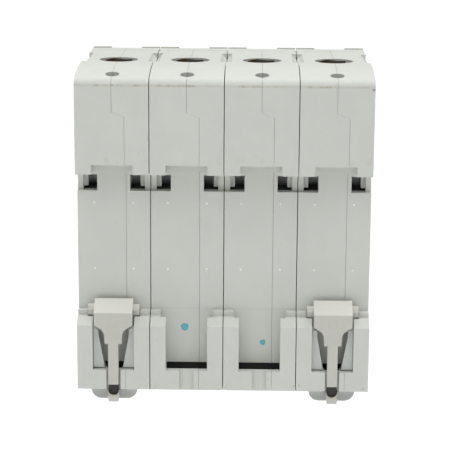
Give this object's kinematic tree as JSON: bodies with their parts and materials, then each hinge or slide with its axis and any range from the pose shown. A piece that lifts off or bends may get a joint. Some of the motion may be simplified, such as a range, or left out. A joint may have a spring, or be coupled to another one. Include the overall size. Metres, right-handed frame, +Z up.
{
  "type": "residual current device",
  "caption": "Modular residual current device for a 35 mm rail, with rising cage terminals, a rocker toggle, a test button and sliding rail clips.",
  "frame": {"origin": "middle of the rail seat: rail centre line, mid-width, on the plane where the rail's flanges bear", "axes": "+X along the rail, +Y to the wall behind the rail (the toggle faces -Y), +Z up"},
  "size_m": [0.0698, 0.0714, 0.0807],
  "materials": {
    "housing_plastic": "fine moulded, light grey",
    "clip_plastic": "smooth moulded, warm white",
    "guide_plastic": "smooth moulded, light grey",
    "cage_steel": "zinc plated",
    "screw_steel": "zinc plated",
    "copper": "bare copper",
    "rivet_steel": "rolled",
    "toggle_plastic": "moulded, black",
    "rotor_plastic": "moulded, dark",
    "spring_steel": "drawn wire",
    "button_plastic": "moulded",
    "lens": "clear",
    "flag_plastic": "moulded",
    "label_plastic": "printed film",
    "core_metal": "coated strip-wound core",
    "relay_casing": "moulded",
    "resistor_body": "lacquered"
  },
  "bodies": {
    "housing": {"pole_1_left_shell": "housing_plastic", "pole_1_right_shell": "housing_plastic", "line_bar_1": "copper", "load_conductor_1": "copper", "pole_2_left_shell": "housing_plastic", "pole_2_right_shell": "housing_plastic", "line_bar_2": "copper", "load_conductor_2": "copper", "pole_3_left_shell": "housing_plastic", "pole_3_right_shell": "housing_plastic", "line_bar_3": "copper", "load_conductor_3": "copper", "pole_4_left_shell": "housing_plastic", "pole_4_right_shell": "housing_plastic", "line_bar_4": "copper", "load_conductor_4": "copper", "rivets": "rivet_steel", "clip_guide_1": "guide_plastic", "clip_guide_4": "guide_plastic", "arc_splitters": "spring_steel", "summation_core": "core_metal", "secondary_winding": "copper", "test_contact_blade": "spring_steel", "test_resistor": "resistor_body", "indicator_lens": "lens", "label_plate": "label_plastic", "trip_relay": "relay_casing", "toggle_spring": "spring_steel", "opening_spring": "spring_steel", "button_spring": "spring_steel", "trip_spring": "spring_steel"},
    "contact_rotor": {"contact_rotor": "rotor_plastic", "moving_contact_1": "copper", "moving_contact_2": "copper", "moving_contact_3": "copper", "moving_contact_4": "copper"},
    "toggle": {"toggle": "toggle_plastic"},
    "toggle_link": {"toggle_link": "spring_steel"},
    "contact_flag": {"contact_flag": "flag_plastic"},
    "test_button": {"test_button": "button_plastic"},
    "trip_lever": {"trip_lever": "rotor_plastic"},
    "relay_plunger": {"relay_plunger": "spring_steel"},
    "rail_clip_1": {"rail_clip_1": "clip_plastic"},
    "rail_clip_4": {"rail_clip_4": "clip_plastic"},
    "terminal_screw_upper_1": {"terminal_screw_upper_1": "screw_steel"},
    "terminal_cage_upper_1": {"terminal_cage_upper_1": "cage_steel"},
    "terminal_screw_upper_2": {"terminal_screw_upper_2": "screw_steel"},
    "terminal_cage_upper_2": {"terminal_cage_upper_2": "cage_steel"},
    "terminal_screw_upper_3": {"terminal_screw_upper_3": "screw_steel"},
    "terminal_cage_upper_3": {"terminal_cage_upper_3": "cage_steel"},
    "terminal_screw_upper_4": {"terminal_screw_upper_4": "screw_steel"},
    "terminal_cage_upper_4": {"terminal_cage_upper_4": "cage_steel"},
    "terminal_screw_lower_1": {"terminal_screw_lower_1": "screw_steel"},
    "terminal_cage_lower_1": {"terminal_cage_lower_1": "cage_steel"},
    "terminal_screw_lower_2": {"terminal_screw_lower_2": "screw_steel"},
    "terminal_cage_lower_2": {"terminal_cage_lower_2": "cage_steel"},
    "terminal_screw_lower_3": {"terminal_screw_lower_3": "screw_steel"},
    "terminal_cage_lower_3": {"terminal_cage_lower_3": "cage_steel"},
    "terminal_screw_lower_4": {"terminal_screw_lower_4": "screw_steel"},
    "terminal_cage_lower_4": {"terminal_cage_lower_4": "cage_steel"}
  },
  "joints": [
    {"name": "toggle_turn", "type": "hinge", "parent": "housing", "child": "toggle", "pos_m": [0.00875, -0.0505, 0], "axis": [-1, 0, 0], "range_deg": [0, 76], "deforming": ["toggle_spring"]},
    {"name": "rotor_turn", "type": "hinge", "parent": "housing", "child": "contact_rotor", "pos_m": [0, -0.02, 0.006], "axis": [1, 0, 0], "range_deg": [0, 30], "deforming": ["opening_spring"]},
    {"name": "link_turn", "type": "hinge", "parent": "toggle", "child": "toggle_link", "pos_m": [0.01485, -0.05296, 0.00315], "axis": [-1, 0, 0], "range_deg": [-76, 0]},
    {"name": "flag_turn", "type": "hinge", "parent": "housing", "child": "contact_flag", "pos_m": [0.00875, -0.049, 0.014], "axis": [1, 0, 0], "range_deg": [-32, 0]},
    {"name": "test_button_press", "type": "slide", "parent": "housing", "child": "test_button", "axis": [0, 1, 0], "range_m": [0, 0.0014], "stiffness_N_per_m": 400, "springref_m": -0.001, "deforming": ["button_spring"]},
    {"name": "trip_lever_turn", "type": "hinge", "parent": "housing", "child": "trip_lever", "pos_m": [0.00875, -0.04, 0.0175], "axis": [1, 0, 0], "range_deg": [0, 17], "stiffness_Nm_per_rad": 0.01, "springref_deg": -5.73, "deforming": ["trip_spring"]},
    {"name": "relay_plunger_slide", "type": "slide", "parent": "housing", "child": "relay_plunger", "axis": [0, 0, 1], "range_m": [0, 0.00089]},
    {"name": "rail_clip_1_slide", "type": "slide", "parent": "housing", "child": "rail_clip_1", "axis": [0, 0, 1], "range_m": [-0.004, 0], "stiffness_N_per_m": 1500, "springref_m": 0.001},
    {"name": "rail_clip_4_slide", "type": "slide", "parent": "housing", "child": "rail_clip_4", "axis": [0, 0, 1], "range_m": [-0.004, 0], "stiffness_N_per_m": 1500, "springref_m": 0.001},
    {"name": "terminal_screw_upper_1_turn", "type": "hinge", "parent": "housing", "child": "terminal_screw_upper_1", "pos_m": [-0.02625, -0.04, 0.0315], "axis": [0, 1, 0], "range_deg": [0, 2880]},
    {"name": "terminal_cage_upper_1_lift", "type": "slide", "parent": "housing", "child": "terminal_cage_upper_1", "axis": [0, -1, 0], "range_m": [0, 0.0064]},
    {"name": "terminal_screw_upper_2_turn", "type": "hinge", "parent": "housing", "child": "terminal_screw_upper_2", "pos_m": [-0.00875, -0.04, 0.0315], "axis": [0, 1, 0], "range_deg": [0, 2880]},
    {"name": "terminal_cage_upper_2_lift", "type": "slide", "parent": "housing", "child": "terminal_cage_upper_2", "axis": [0, -1, 0], "range_m": [0, 0.0064]},
    {"name": "terminal_screw_upper_3_turn", "type": "hinge", "parent": "housing", "child": "terminal_screw_upper_3", "pos_m": [0.00875, -0.04, 0.0315], "axis": [0, 1, 0], "range_deg": [0, 2880]},
    {"name": "terminal_cage_upper_3_lift", "type": "slide", "parent": "housing", "child": "terminal_cage_upper_3", "axis": [0, -1, 0], "range_m": [0, 0.0064]},
    {"name": "terminal_screw_upper_4_turn", "type": "hinge", "parent": "housing", "child": "terminal_screw_upper_4", "pos_m": [0.02625, -0.04, 0.0315], "axis": [0, 1, 0], "range_deg": [0, 2880]},
    {"name": "terminal_cage_upper_4_lift", "type": "slide", "parent": "housing", "child": "terminal_cage_upper_4", "axis": [0, -1, 0], "range_m": [0, 0.0064]},
    {"name": "terminal_screw_lower_1_turn", "type": "hinge", "parent": "housing", "child": "terminal_screw_lower_1", "pos_m": [-0.02625, -0.04, -0.0315], "axis": [0, 1, 0], "range_deg": [0, 2880]},
    {"name": "terminal_cage_lower_1_lift", "type": "slide", "parent": "housing", "child": "terminal_cage_lower_1", "axis": [0, -1, 0], "range_m": [0, 0.0064]},
    {"name": "terminal_screw_lower_2_turn", "type": "hinge", "parent": "housing", "child": "terminal_screw_lower_2", "pos_m": [-0.00875, -0.04, -0.0315], "axis": [0, 1, 0], "range_deg": [0, 2880]},
    {"name": "terminal_cage_lower_2_lift", "type": "slide", "parent": "housing", "child": "terminal_cage_lower_2", "axis": [0, -1, 0], "range_m": [0, 0.0064]},
    {"name": "terminal_screw_lower_3_turn", "type": "hinge", "parent": "housing", "child": "terminal_screw_lower_3", "pos_m": [0.00875, -0.04, -0.0315], "axis": [0, 1, 0], "range_deg": [0, 2880]},
    {"name": "terminal_cage_lower_3_lift", "type": "slide", "parent": "housing", "child": "terminal_cage_lower_3", "axis": [0, -1, 0], "range_m": [0, 0.0064]},
    {"name": "terminal_screw_lower_4_turn", "type": "hinge", "parent": "housing", "child": "terminal_screw_lower_4", "pos_m": [0.02625, -0.04, -0.0315], "axis": [0, 1, 0], "range_deg": [0, 2880]},
    {"name": "terminal_cage_lower_4_lift", "type": "slide", "parent": "housing", "child": "terminal_cage_lower_4", "axis": [0, -1, 0], "range_m": [0, 0.0064]}
  ],
  "couplings": [
    {"joint": "rotor_turn", "follows": "toggle_turn", "ratio": 0.39474},
    {"joint": "link_turn", "follows": "toggle_turn", "ratio": -1},
    {"joint": "flag_turn", "follows": "toggle_turn", "ratio": -0.42105},
    {"joint": "trip_lever_turn", "follows": "relay_plunger_slide", "rad_per_m": 333.33},
    {"joint": "terminal_screw_upper_1_turn", "follows": "terminal_cage_upper_1_lift", "rad_per_m": 7854},
    {"joint": "terminal_screw_upper_2_turn", "follows": "terminal_cage_upper_2_lift", "rad_per_m": 7854},
    {"joint": "terminal_screw_upper_3_turn", "follows": "terminal_cage_upper_3_lift", "rad_per_m": 7854},
    {"joint": "terminal_screw_upper_4_turn", "follows": "terminal_cage_upper_4_lift", "rad_per_m": 7854},
    {"joint": "terminal_screw_lower_1_turn", "follows": "terminal_cage_lower_1_lift", "rad_per_m": 7854},
    {"joint": "terminal_screw_lower_2_turn", "follows": "terminal_cage_lower_2_lift", "rad_per_m": 7854},
    {"joint": "terminal_screw_lower_3_turn", "follows": "terminal_cage_lower_3_lift", "rad_per_m": 7854},
    {"joint": "terminal_screw_lower_4_turn", "follows": "terminal_cage_lower_4_lift", "rad_per_m": 7854}
  ]
}
